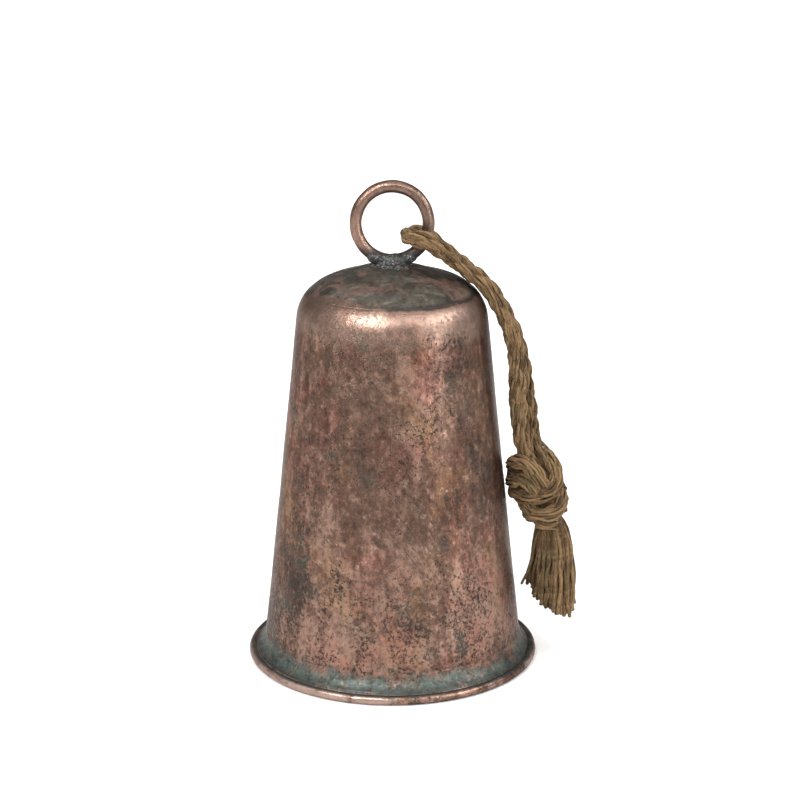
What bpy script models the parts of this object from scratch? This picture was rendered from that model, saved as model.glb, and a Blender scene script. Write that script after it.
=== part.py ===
"""Yard dinner bell: a copper-finished sheet bell with a brazed hanging ring,
an iron clapper hung on a link, and a doubled jute rope tied through the ring.

Metres, +Z up. The origin is the centre of the mouth, on the plane that the rolled
rim stands on. The front faces -Y, the ring's hole runs along Y, and the rope
hangs over the shoulder on the +X side.
"""
import math

import bpy
from mathutils import Matrix, Vector

# ---- Clearances ---------------------------------------------------------------------
GAP = 0.0003                    # joint between two pieces that are brazed or lie together
PLAY = 0.0003                   # slack of a loop on the wire that it hangs on

# ---- Sheet-metal bell ---------------------------------------------------------------
SHEET = 0.0009                  # thickness of the wall, flange and crown
LAP = 0.0060                    # height that the flange's collar stands up inside the wall
MOUTH_RADIUS = 0.0575           # outer radius that the wall's cone has at the origin plane
WALL_TAPER = 0.1068             # radius lost for each unit of height
SHOULDER_HEIGHT = 0.1540        # height where the cone turns into the round shoulder
SHOULDER_RADIUS = 0.0175        # radius of the shoulder's bend
CROWN_SEAM = math.radians(44.0)     # angle up the shoulder's bend where the crown begins
CROWN_LAP = math.radians(14.0)      # how far the crown's edge reaches under the shoulder
FLARE_RADIUS = 0.0102           # hollow bend between the wall and the flange
FLARE_END = math.radians(232.6)     # angle of that bend where the flange ends
BEAD_RADIUS = 0.0019            # rolled bead round the rim
BEAD_SETOUT = 0.0018            # from the flange's edge out to the bead's centre
BEAD_STEP = 0.0007              # the flange's edge stands this far above the bead
BEAD_FACETS = 12                # facets of the bead, one of them flat on the ground

# Crown outline, from its middle to its edge: share of the edge's radius, rise over the edge.
CROWN_OUTLINE = (
    (0.00, 0.0105),
    (0.26, 0.01045),
    (0.37, 0.0100),
    (0.46, 0.0090),
    (0.57, 0.0077),
    (0.69, 0.0065),
    (0.80, 0.0050),
    (0.90, 0.0030),
    (1.00, 0.0000),
)

# ---- Hanging ring and its braze -----------------------------------------------------
RING_RADIUS = 0.01545           # to the middle of the ring's rod
RING_ROD = 0.00255              # radius of the rod
RING_STRETCH = 1.028            # the ring is a little taller than wide
BRAZE_RADIUS = 0.0142           # spread of the braze over the crown
BRAZE_RISE = 0.0052             # height of the braze over the crown's middle
BRAZE_SPLIT = 0.0004            # half of the parting between the front and back fillets
BRAZE_OUTLINE = ((0.00, 1.00), (0.36, 0.96), (0.64, 0.74), (0.86, 0.38))    # shares of both

# ---- Clapper ------------------------------------------------------------------------
STAPLE_WIRE = 0.0015            # radius of the staple's wire
STAPLE_HALF_WIDTH = 0.0070      # from the middle to each leg
STAPLE_DROP = 0.0110            # from the crown's underside to the middle of the bar
STAPLE_CORNER = 0.0030          # bend between a leg and the bar
FOOT_BRAZE_RADIUS = 0.0036      # braze round each foot of the staple
FOOT_BRAZE_HEIGHT = 0.0024
FOOT_BRAZE_LIP = 0.0004         # thickness of the braze where it ends on the leg
LINK_WIRE = 0.0012              # radius of the link's wire
LINK_EYE = 0.0032               # inner radius of the link's round ends
LINK_LENGTH = 0.0180            # between the middles of the wire at its two ends
ROD_WIRE = 0.0016               # radius of the clapper's rod
ROD_EYE = 0.0026                # inner radius of the eye bent at its top
ROD_EYE_START = math.radians(-42.0)     # where the bent eye begins beside the shank
ROD_EYE_END = math.radians(236.0)       # where it turns down into the shank
ROD_NECK = ((-0.12, -1.18), (0.0, -1.60))   # Y and Z below the eye, in eye bend radii
ROD_HEAD = 1.75                 # size of the peened head, as a multiple of the rod
ROD_HEAD_LENGTH = 0.0022
BALL_RADIUS = 0.0130
BALL_HEIGHT = 0.0280            # middle of the ball above the mouth

# ---- Rope ---------------------------------------------------------------------------
ROPE_RADIUS = 0.0043
# Route from the bight inside the ring down to the knot, between the two strands: x, z,
# then how far each strand stands off it along Y, X and Z, and the squeeze of the bend.
ROPE_ROUTE = (
    (0.0068, 0.1884, 0.0000, 0.0000, 0.0000, 0.82),
    (0.0092, 0.1883, 0.0050, 0.0000, 0.0002, 0.86),
    (0.0142, 0.1874, 0.0071, 0.0000, 0.0005, 0.94),
    (0.0196, 0.1838, 0.0065, 0.0000, 0.0008, 0.92),
    (0.0256, 0.1790, 0.0051, 0.0000, 0.0009, 0.88),
    (0.0322, 0.1736, 0.0041, 0.0000, 0.0009, 0.86),
    (0.0390, 0.1681, 0.0039, 0.0000, 0.0009, 0.86),
    (0.0440, 0.1616, 0.0040, 0.0000, 0.0009, 0.86),
    (0.0478, 0.1551, 0.0043, 0.0000, 0.0006, 0.91),
    (0.0512, 0.1476, 0.0046, 0.0002, 0.0002, 0.97),
    (0.0538, 0.1385, 0.0046, 0.0006, 0.0000, 1.00),
    (0.0553, 0.1290, 0.0045, 0.0013, 0.0000, 1.00),
    (0.0563, 0.1190, 0.0043, 0.0020, 0.0000, 1.00),
    (0.0573, 0.1090, 0.0041, 0.0023, 0.0000, 1.00),
    (0.0587, 0.0990, 0.0042, 0.0022, 0.0000, 1.00),
    (0.0602, 0.0923, 0.0044, 0.0018, 0.0000, 1.00),
)
KNOT_TOP = (0.0605, 0.0908)     # x and z where the strands enter the knot
KNOT_BOTTOM = (0.0695, 0.0583)  # x and z where the tassel leaves it
KNOT_RADIUS = 0.0132
KNOT_OUTLINE = (                # share of the knot's length, share of its radius
    (0.00, 0.72),
    (0.10, 0.86),
    (0.28, 0.99),
    (0.50, 1.00),
    (0.74, 0.93),
    (0.90, 0.76),
    (1.00, 0.58),
)
KNOT_SHIFT = 0.0009             # the knot bulges this much towards the wall
TASSEL_ROUTE = (                # x, z and radius down the tassel
    (0.0695, 0.0578, 0.0066),
    (0.0709, 0.0530, 0.0074),
    (0.0716, 0.0460, 0.0086),
    (0.0718, 0.0380, 0.0098),
    (0.0716, 0.0290, 0.0106),
    (0.0715, 0.0185, 0.0102),
)

# ---- Mesh fineness ------------------------------------------------------------------
TURNS = 48                      # facets round the bell
FINE_TURNS = 24                 # facets round the small turned pieces
CURVE_STEPS = 2                 # points of the rope to each stretch of its route

COLLECTION_NAME = "yard_dinner_bell"


# ---- Setting up ---------------------------------------------------------------------
def clear_scene():
    """Remove the start-up objects."""
    for thing in list(bpy.data.objects):
        bpy.data.objects.remove(thing, do_unlink=True)


def new_collection(name):
    """Add a collection to the scene."""
    collection = bpy.data.collections.new(name)
    bpy.context.scene.collection.children.link(collection)
    return collection


def new_material(name, colour, roughness, metallic):
    """Make a plain Principled material."""
    material = bpy.data.materials.new(name)
    material.use_nodes = True
    shader = material.node_tree.nodes["Principled BSDF"]
    shader.inputs["Base Color"].default_value = (*colour, 1.0)
    shader.inputs["Roughness"].default_value = roughness
    shader.inputs["Metallic"].default_value = metallic
    material.diffuse_color = (*colour, 1.0)
    return material


def place(thing, collection, material=None, parent=None):
    """Put an object in a collection, with a material, under a parent empty."""
    for owner in list(thing.users_collection):
        owner.objects.unlink(thing)
    collection.objects.link(thing)
    if material is not None:
        thing.data.materials.clear()
        thing.data.materials.append(material)
    if parent is not None:
        thing.parent = parent
        thing.matrix_parent_inverse = Matrix.Translation(-parent.location)
    return thing


def pivot_empty(name, location, collection, parent=None):
    """An empty on a joint's axis, which a moving body hangs from."""
    empty = bpy.data.objects.new(name, None)
    empty.empty_display_size = 0.01
    empty.location = location
    collection.objects.link(empty)
    if parent is not None:
        empty.parent = parent
        empty.matrix_parent_inverse = Matrix.Translation(-parent.location)
    return empty


# ---- Ways of making shapes ----------------------------------------------------------
def turned(name, profile, steps=TURNS, closed=False, sheet=None):
    """Turn a profile of (radius, height) about Z; a sheet's thickness goes inwards."""
    mesh = bpy.data.meshes.new(name)
    points = [(radius, 0.0, height) for radius, height in profile]
    edges = [(i, i + 1) for i in range(len(points) - 1)]
    if closed:
        edges.append((len(points) - 1, 0))
    mesh.from_pydata(points, edges, [])
    thing = bpy.data.objects.new(name, mesh)
    screw = thing.modifiers.new("turn", 'SCREW')
    screw.axis = 'Z'
    screw.steps = steps
    screw.render_steps = steps
    screw.use_merge_vertices = True
    screw.merge_threshold = 0.00005
    screw.use_smooth_shade = True
    if sheet is not None:
        solidify = thing.modifiers.new("sheet", 'SOLIDIFY')
        solidify.thickness = sheet
        solidify.offset = -1.0
        solidify.use_even_offset = True
    return thing


def wire(name, points, radius, sizes=None, closed=False, resolution=2):
    """A round wire along points, as a straight-run curve with filled ends."""
    curve = bpy.data.curves.new(name, 'CURVE')
    curve.dimensions = '3D'
    curve.bevel_depth = radius
    curve.bevel_resolution = resolution
    curve.use_fill_caps = True
    spline = curve.splines.new('POLY')
    spline.points.add(len(points) - 1)
    for index, point in enumerate(points):
        spline.points[index].co = (*point, 1.0)
        spline.points[index].radius = 1.0 if sizes is None else sizes[index]
    spline.use_cyclic_u = closed
    return bpy.data.objects.new(name, curve)


def torus(name, centre_radius, rod_radius, around, across, location, rotation):
    """A ring of round rod."""
    bpy.ops.mesh.primitive_torus_add(
        major_radius=centre_radius, minor_radius=rod_radius, major_segments=around,
        minor_segments=across, location=location, rotation=rotation)
    thing = bpy.context.object
    thing.name = name
    thing.data.shade_smooth()
    return thing


def arc(centre, radius, start, end, count):
    """Points (radius, height) round an arc, both ends included."""
    points = []
    for i in range(count):
        angle = start + (end - start) * i / (count - 1)
        points.append((centre[0] + radius * math.cos(angle),
                       centre[1] + radius * math.sin(angle)))
    return points


def smooth_through(points, steps):
    """A smooth curve through points of any number of values, in steps to each stretch."""
    def value(before, start, end, after, t):
        return 0.5 * (2 * start + (end - before) * t
                      + (2 * before - 5 * start + 4 * end - after) * t ** 2
                      + (3 * start - before - 3 * end + after) * t ** 3)

    padded = [points[0], *points, points[-1]]
    curve = []
    for i in range(len(points) - 1):
        four = padded[i:i + 4]
        for step in range(steps):
            curve.append([value(*column, step / steps) for column in zip(*four)])
    curve.append(list(points[-1]))
    return curve


# ---- Places worked out from the driving sizes ---------------------------------------
SLOPE = math.atan(WALL_TAPER)           # lean of the wall from upright


def wall_radius(height):
    """Outer radius of the wall's cone at a height."""
    return MOUTH_RADIUS - WALL_TAPER * height


BEAD_HALF_FACET = math.pi / BEAD_FACETS
BEAD_Z = BEAD_RADIUS * math.cos(BEAD_HALF_FACET)
FLARE_Z = BEAD_Z + BEAD_RADIUS + BEAD_STEP - FLARE_RADIUS * math.sin(FLARE_END)
FLARE_TOP_Z = FLARE_Z - FLARE_RADIUS * math.sin(SLOPE)      # where the wall meets the flare
FLARE_R = wall_radius(FLARE_TOP_Z) + FLARE_RADIUS * math.cos(SLOPE)
BEAD_R = FLARE_R + FLARE_RADIUS * math.cos(FLARE_END) + BEAD_SETOUT

SHOULDER_R = wall_radius(SHOULDER_HEIGHT) - SHOULDER_RADIUS * math.cos(SLOPE)
SHOULDER_Z = SHOULDER_HEIGHT - SHOULDER_RADIUS * math.sin(SLOPE)
CROWN_EDGE_ANGLE = CROWN_SEAM + GAP / SHOULDER_RADIUS
CROWN_EDGE_R = SHOULDER_R + SHOULDER_RADIUS * math.cos(CROWN_EDGE_ANGLE)
CROWN_EDGE_Z = SHOULDER_Z + SHOULDER_RADIUS * math.sin(CROWN_EDGE_ANGLE)


def crown_height(radius):
    """Height of the crown's outer face at a radius."""
    share = radius / CROWN_EDGE_R
    for (near, near_rise), (far, far_rise) in zip(CROWN_OUTLINE, CROWN_OUTLINE[1:]):
        if share <= far:
            mix = (share - near) / (far - near)
            return CROWN_EDGE_Z + near_rise + (far_rise - near_rise) * mix
    return CROWN_EDGE_Z


CROWN_TOP = crown_height(0.0)
RING_Z = CROWN_TOP + GAP + RING_ROD + RING_RADIUS
BAR_Z = CROWN_TOP - SHEET - STAPLE_DROP
LINK_TOP_Z = BAR_Z + STAPLE_WIRE + PLAY + LINK_WIRE
LINK_BOTTOM_Z = LINK_TOP_Z - LINK_LENGTH
ROD_EYE_Z = LINK_BOTTOM_Z + LINK_WIRE + PLAY - ROD_EYE


# ---- The bell -----------------------------------------------------------------------
def make_wall():
    """Tapered wall whose top turns in over the shoulder."""
    foot = FLARE_TOP_Z + GAP
    profile = arc((SHOULDER_R, SHOULDER_Z), SHOULDER_RADIUS, CROWN_SEAM, SLOPE, 6)
    profile.append((wall_radius(foot), foot))
    return turned("bell_wall", profile, sheet=SHEET)


def make_flange():
    """Flared rim: collar inside the wall, hollow bend, and a bead rolled round a wire."""
    inset = (SHEET + GAP) / math.cos(SLOPE)
    collar_top = FLARE_TOP_Z + LAP
    profile = [
        (wall_radius(collar_top) - inset, collar_top),
        (wall_radius(FLARE_TOP_Z) - inset, FLARE_TOP_Z),
    ]
    profile += arc((FLARE_R, FLARE_Z), FLARE_RADIUS, math.pi + SLOPE, FLARE_END, 6)
    first = math.pi / 2 + 3 * BEAD_HALF_FACET
    facets = BEAD_FACETS - 3
    profile += arc((BEAD_R, BEAD_Z), BEAD_RADIUS, first,
                   first - facets * 2 * BEAD_HALF_FACET, facets + 1)
    return turned("rim_flange", profile, sheet=SHEET)


def make_rim_wire():
    """Wire inside the rolled bead."""
    return torus("rim_wire", BEAD_R, BEAD_RADIUS - SHEET - GAP, TURNS, 8,
                 (0.0, 0.0, BEAD_Z), (0.0, 0.0, 0.0))


def make_crown():
    """Low domed crown whose edge steps down and laps under the shoulder."""
    profile = [(share * CROWN_EDGE_R, CROWN_EDGE_Z + rise) for share, rise in CROWN_OUTLINE]
    profile += arc((SHOULDER_R, SHOULDER_Z), SHOULDER_RADIUS - SHEET - GAP,
                   CROWN_EDGE_ANGLE, CROWN_EDGE_ANGLE - CROWN_LAP, 3)
    return turned("crown_cap", profile, sheet=SHEET)


def upright_ring(name, rod_radius):
    """A ring stood on edge and stretched upwards from its foot."""
    ring = torus(name, RING_RADIUS, rod_radius, 40, 12,
                 (0.0, 0.0, RING_Z), (math.pi / 2, 0.0, 0.0))
    foot = -RING_RADIUS - RING_ROD
    for vertex in ring.data.vertices:
        vertex.co.y = foot + (vertex.co.y - foot) * RING_STRETCH
    return ring


def make_ring():
    """Hanging ring that stands on the crown."""
    return upright_ring("hanging_ring", RING_ROD)


def cut(thing, cutter, name):
    """Take a cutter out of a piece."""
    boolean = thing.modifiers.new(name, 'BOOLEAN')
    boolean.operation = 'DIFFERENCE'
    boolean.solver = 'EXACT'
    boolean.object = cutter


def make_cutter(thing, cutters):
    """Keep an object only as a cutter."""
    place(thing, cutters)
    thing.hide_render = True
    thing.display_type = 'WIRE'
    return thing


def make_ring_brazes(cutters):
    """Front and back fillets of braze round the ring's foot."""
    groove = make_cutter(upright_ring("ring_groove", RING_ROD + GAP), cutters)
    middle = crown_height(0.0)
    profile = [(share * BRAZE_RADIUS, middle + rise * BRAZE_RISE)
               for share, rise in BRAZE_OUTLINE]
    profile.append((BRAZE_RADIUS, crown_height(BRAZE_RADIUS) + 2 * GAP))
    profile.append((BRAZE_RADIUS, crown_height(BRAZE_RADIUS) + GAP))
    for share in (CROWN_OUTLINE[2][0], CROWN_OUTLINE[1][0]):
        radius = share * CROWN_EDGE_R
        profile.append((radius, crown_height(radius) + GAP))
    profile.append((0.0, middle + GAP))
    pieces = []
    for name, side in (("ring_braze_front", -1.0), ("ring_braze_back", 1.0)):
        size = 4 * BRAZE_RADIUS
        bpy.ops.mesh.primitive_cube_add(
            size=size, location=(0.0, side * (BRAZE_SPLIT - size / 2), middle))
        parting = bpy.context.object
        parting.name = name + "_parting"
        make_cutter(parting, cutters)
        piece = turned(name, profile, steps=FINE_TURNS)
        cut(piece, groove, "ring_groove")
        cut(piece, parting, "parting")
        pieces.append(piece)
    return pieces


# ---- The clapper --------------------------------------------------------------------
def make_staple():
    """U of wire under the crown; its bar runs along Y."""
    foot_z = crown_height(STAPLE_HALF_WIDTH + STAPLE_WIRE) - SHEET - GAP
    bend = []
    for i in range(5):
        angle = math.pi / 2 * i / 4
        bend.append((STAPLE_HALF_WIDTH - STAPLE_CORNER * (1 - math.cos(angle)),
                     BAR_Z + STAPLE_CORNER * (1 - math.sin(angle))))
    half = [(STAPLE_HALF_WIDTH, foot_z), *bend]
    points = [(0.0, -y, z) for y, z in half]
    points += [(0.0, y, z) for y, z in reversed(half)]
    return wire("clapper_staple", points, STAPLE_WIRE)


def make_staple_braze(name, side):
    """Cone of braze round one foot of the staple."""
    top = crown_height(STAPLE_HALF_WIDTH + FOOT_BRAZE_RADIUS) - SHEET - 2 * GAP
    bore = STAPLE_WIRE + GAP
    waist = 0.7 * bore + 0.3 * FOOT_BRAZE_RADIUS
    profile = [(bore, top), (FOOT_BRAZE_RADIUS, top), (waist, top - 0.5 * FOOT_BRAZE_HEIGHT),
               (bore + FOOT_BRAZE_LIP, top - FOOT_BRAZE_HEIGHT),
               (bore, top - FOOT_BRAZE_HEIGHT)]
    piece = turned(name, profile, steps=FINE_TURNS // 2, closed=True)
    piece.location = (0.0, side * STAPLE_HALF_WIDTH, 0.0)
    return piece


def make_link():
    """Long link that hangs on the staple's bar, in the XZ plane."""
    bend = LINK_EYE + LINK_WIRE
    points = []
    for middle, start in ((LINK_TOP_Z - bend, 0.0), (LINK_BOTTOM_Z + bend, math.pi)):
        for x, z in arc((0.0, middle), bend, start, start + math.pi, 9):
            points.append((x, 0.0, z - BAR_Z))
    link = wire("clapper_link", points, LINK_WIRE, closed=True)
    link.location = (0.0, 0.0, BAR_Z)
    return link


def make_rod():
    """Clapper rod: an eye bent round the link, a straight shank and a peened head."""
    bend = ROD_EYE + ROD_WIRE
    eye = arc((0.0, ROD_EYE_Z), bend, ROD_EYE_START, ROD_EYE_END, 16)
    points = [(0.0, y, z) for y, z in eye]
    points += [(0.0, y * bend, ROD_EYE_Z + z * bend) for y, z in ROD_NECK]
    head_top = BALL_HEIGHT - BALL_RADIUS - PLAY
    sizes = [1.0] * (len(points) + 1)
    points.append((0.0, 0.0, head_top))
    points.append((0.0, 0.0, head_top - 0.2 * ROD_HEAD_LENGTH))
    points.append((0.0, 0.0, head_top - 0.8 * ROD_HEAD_LENGTH))
    points.append((0.0, 0.0, head_top - ROD_HEAD_LENGTH))
    sizes += [ROD_HEAD, ROD_HEAD, 0.6 * ROD_HEAD]
    points = [(x, y, z - LINK_BOTTOM_Z) for x, y, z in points]
    rod = wire("clapper_rod", points, ROD_WIRE, sizes=sizes)
    rod.location = (0.0, 0.0, LINK_BOTTOM_Z)
    return rod


def make_ball():
    """Clapper ball, drilled through for the rod."""
    bore = ROD_WIRE + GAP
    start = math.acos(bore / BALL_RADIUS)
    profile = arc((0.0, BALL_HEIGHT - LINK_BOTTOM_Z), BALL_RADIUS, start, -start, 13)
    ball = turned("clapper_ball", profile, steps=FINE_TURNS, closed=True)
    ball.location = (0.0, 0.0, LINK_BOTTOM_Z)
    return ball


# ---- The rope -----------------------------------------------------------------------
def make_rope():
    """One rope doubled through the ring: up the front strand and down the back one."""
    front = [(x - lead, -y, z + lift, size) for x, z, y, lead, lift, size in ROPE_ROUTE]
    back = [(x + lead, y, z - lift, size) for x, z, y, lead, lift, size in ROPE_ROUTE]
    route = front[::-1] + back[1:]
    samples = smooth_through(route, CURVE_STEPS)
    points = [(x, y, z - RING_Z) for x, y, z, size in samples]
    sizes = [size for x, y, z, size in samples]
    rope = wire("rope_loop", points, ROPE_RADIUS, sizes=sizes, resolution=3)
    rope.location = (0.0, 0.0, RING_Z)
    return rope


def make_knot():
    """Overhand knot in the doubled rope, as a plain barrel on the rope's slant."""
    top = Vector((KNOT_TOP[0], 0.0, KNOT_TOP[1]))
    bottom = Vector((KNOT_BOTTOM[0], 0.0, KNOT_BOTTOM[1]))
    length = (top - bottom).length
    profile = [(0.0, length / 2)]
    profile += [(share * KNOT_RADIUS, length * (0.5 - along)) for along, share in KNOT_OUTLINE]
    profile.append((0.0, -length / 2))
    knot = turned("rope_knot", profile, steps=FINE_TURNS)
    slant = Vector((0.0, 0.0, 1.0)).rotation_difference(top - bottom)
    knot.rotation_mode = 'QUATERNION'
    knot.rotation_quaternion = slant
    knot.location = (top + bottom) / 2 - Vector((KNOT_SHIFT, 0.0, 0.0))
    return knot


def make_tassel():
    """Frayed end below the knot, as a plain widening tube."""
    samples = smooth_through([(x, 0.0, z, radius) for x, z, radius in TASSEL_ROUTE], CURVE_STEPS)
    points = [(x, y, z - RING_Z) for x, y, z, radius in samples]
    sizes = [radius / ROPE_RADIUS for x, y, z, radius in samples]
    tassel = wire("rope_tassel", points, ROPE_RADIUS, sizes=sizes, resolution=4)
    tassel.location = (0.0, 0.0, RING_Z)
    return tassel


def main():
    """Build every piece and hang each moving body from its joint's axis."""
    clear_scene()
    parts = new_collection(COLLECTION_NAME)
    cutters = new_collection("cutters")
    copper = new_material("aged_copper", (0.33, 0.17, 0.12), 0.45, 0.9)
    ring_copper = new_material("ring_copper", (0.30, 0.16, 0.11), 0.40, 0.9)
    patina = new_material("dark_patina", (0.10, 0.09, 0.075), 0.65, 0.7)
    braze = new_material("grey_braze", (0.14, 0.16, 0.14), 0.60, 0.7)
    iron = new_material("dark_iron", (0.06, 0.055, 0.05), 0.55, 0.8)
    jute = new_material("jute", (0.38, 0.26, 0.15), 0.95, 0.0)

    place(make_wall(), parts, copper)
    place(make_flange(), parts, copper)
    place(make_rim_wire(), parts, iron)
    place(make_crown(), parts, patina)
    place(make_ring(), parts, ring_copper)
    for piece in make_ring_brazes(cutters):
        place(piece, parts, braze)
    place(make_staple(), parts, iron)
    place(make_staple_braze("staple_braze_front", -1.0), parts, braze)
    place(make_staple_braze("staple_braze_back", 1.0), parts, braze)

    link_pivot = pivot_empty("link_pivot", (0.0, 0.0, BAR_Z), parts)
    place(make_link(), parts, iron, link_pivot)
    rod_pivot = pivot_empty("rod_pivot", (0.0, 0.0, LINK_BOTTOM_Z), parts, link_pivot)
    place(make_rod(), parts, iron, rod_pivot)
    place(make_ball(), parts, iron, rod_pivot)

    rope_pivot = pivot_empty("rope_pivot", (0.0, 0.0, RING_Z), parts)
    place(make_rope(), parts, jute, rope_pivot)
    place(make_knot(), parts, jute, rope_pivot)
    place(make_tassel(), parts, jute, rope_pivot)


main()
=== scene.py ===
"""Looks of a yard dinner bell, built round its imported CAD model.

Metres, +Z up, in the CAD's own frame: the mouth's plane is z = 0, the front faces -Y,
the hanging ring's hole runs along Y and the rope hangs over the shoulder on +X.
"""
import math
import random

import bpy
from bpy.props import FloatProperty, FloatVectorProperty, IntProperty, PointerProperty
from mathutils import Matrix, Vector, noise


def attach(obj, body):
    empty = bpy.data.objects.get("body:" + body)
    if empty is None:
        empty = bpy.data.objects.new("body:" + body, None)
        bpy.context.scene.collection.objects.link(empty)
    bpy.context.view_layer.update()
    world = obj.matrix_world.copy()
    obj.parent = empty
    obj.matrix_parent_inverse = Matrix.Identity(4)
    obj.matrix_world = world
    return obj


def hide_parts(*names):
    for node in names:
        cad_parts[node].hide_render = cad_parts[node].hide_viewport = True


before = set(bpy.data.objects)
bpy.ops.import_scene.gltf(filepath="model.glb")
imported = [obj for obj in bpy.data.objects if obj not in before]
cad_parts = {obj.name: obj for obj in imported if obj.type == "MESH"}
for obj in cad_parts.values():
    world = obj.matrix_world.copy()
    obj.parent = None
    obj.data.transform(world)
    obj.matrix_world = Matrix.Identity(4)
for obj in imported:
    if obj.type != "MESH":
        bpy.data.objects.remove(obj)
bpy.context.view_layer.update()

bl_info = {
    "name": "Yard Dinner Bell",
    "version": (1, 0, 0),
    "blender": (4, 5, 0),
    "location": "View3D > Sidebar > Dinner Bell",
    "description": "Builds a copper-finished sheet bell with a brazed ring and a jute rope",
    "category": "Object",
}

# ---- Outlines taken over from the CAD ------------------------
SHOULDER_MIDDLE = (0.0236518, 0.1521416)    # radius and height of the shoulder bend's centre
SHOULDER_BEND = 0.0175
SEAM_ANGLE = math.radians(44.0)             # where the crown meets the shoulder
WALL_ANGLE = math.atan(0.1068)              # lean of the wall from upright
HOLLOW_MIDDLE = (0.0664189, 0.0125383)      # centre of the hollow bend above the rim
HOLLOW_BEND = 0.0102
HOLLOW_END = math.radians(232.6)
WALL_LAP = 0.0005                           # the wall's foot reaches this far into the rim
BEAD_MIDDLE = (0.0620236, 0.0019500)
BEAD_SIZE = 0.0019
BEAD_TURN = math.radians(135.0)             # the bead is rolled this far each way
CROWN_EDGE = (0.0360336, 0.1645122)         # radius and height of the crown's edge
CROWN_OUTLINE = (                           # share of the edge's radius, rise over the edge
    (0.00, 0.0105), (0.26, 0.01045), (0.37, 0.0100), (0.46, 0.0090), (0.57, 0.0077),
    (0.69, 0.0065), (0.80, 0.0050), (0.90, 0.0030), (1.00, 0.0000),
)
RING_MIDDLE_Z = 0.1933122
RING_STRETCH = 1.028                        # the ring is a little taller than wide
RING_FOOT_Z = 0.1753
BRAZE_SPAN = 31.0                           # degrees each way from the ring's foot
PUDDLE_WIDTH = 0.0085                       # braze run out over the crown: half widths
PUDDLE_DEPTH = 0.0066
PUDDLE_TOP = 0.1749
PUDDLE_SLOPE = 0.75                         # fall for the square of the distance out
CLOSED_RADIUS = 0.0002                      # a turned end this small is closed to a point
CLOUD_MIDDLE = 0.37                         # middle value of a clouds pattern

# Route of the doubled rope: x, z, then how far each strand stands off it along Y, X and Z,
# and the squeeze of the bend.
ROPE_ROUTE = (
    (0.0068, 0.1884, 0.0000, 0.0000, 0.0000, 0.95),
    (0.0092, 0.1883, 0.0050, 0.0000, 0.0002, 1.00),
    (0.0142, 0.1874, 0.0071, 0.0000, 0.0005, 1.04),
    (0.0196, 0.1838, 0.0065, 0.0000, 0.0008, 1.02),
    (0.0256, 0.1790, 0.0051, 0.0000, 0.0009, 0.98),
    (0.0322, 0.1736, 0.0041, 0.0000, 0.0009, 0.96),
    (0.0390, 0.1681, 0.0039, 0.0000, 0.0009, 0.95),
    (0.0440, 0.1616, 0.0040, 0.0000, 0.0009, 0.95),
    (0.0478, 0.1551, 0.0043, 0.0000, 0.0006, 0.97),
    (0.0512, 0.1476, 0.0046, 0.0002, 0.0002, 1.00),
    (0.0538, 0.1385, 0.0046, 0.0006, 0.0000, 1.02),
    (0.0553, 0.1290, 0.0045, 0.0013, 0.0000, 1.02),
    (0.0563, 0.1190, 0.0043, 0.0020, 0.0000, 1.02),
    (0.0573, 0.1090, 0.0041, 0.0023, 0.0000, 1.02),
    (0.0587, 0.0990, 0.0042, 0.0022, 0.0000, 1.00),
    (0.0602, 0.0923, 0.0044, 0.0018, 0.0000, 1.00),
)

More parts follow.
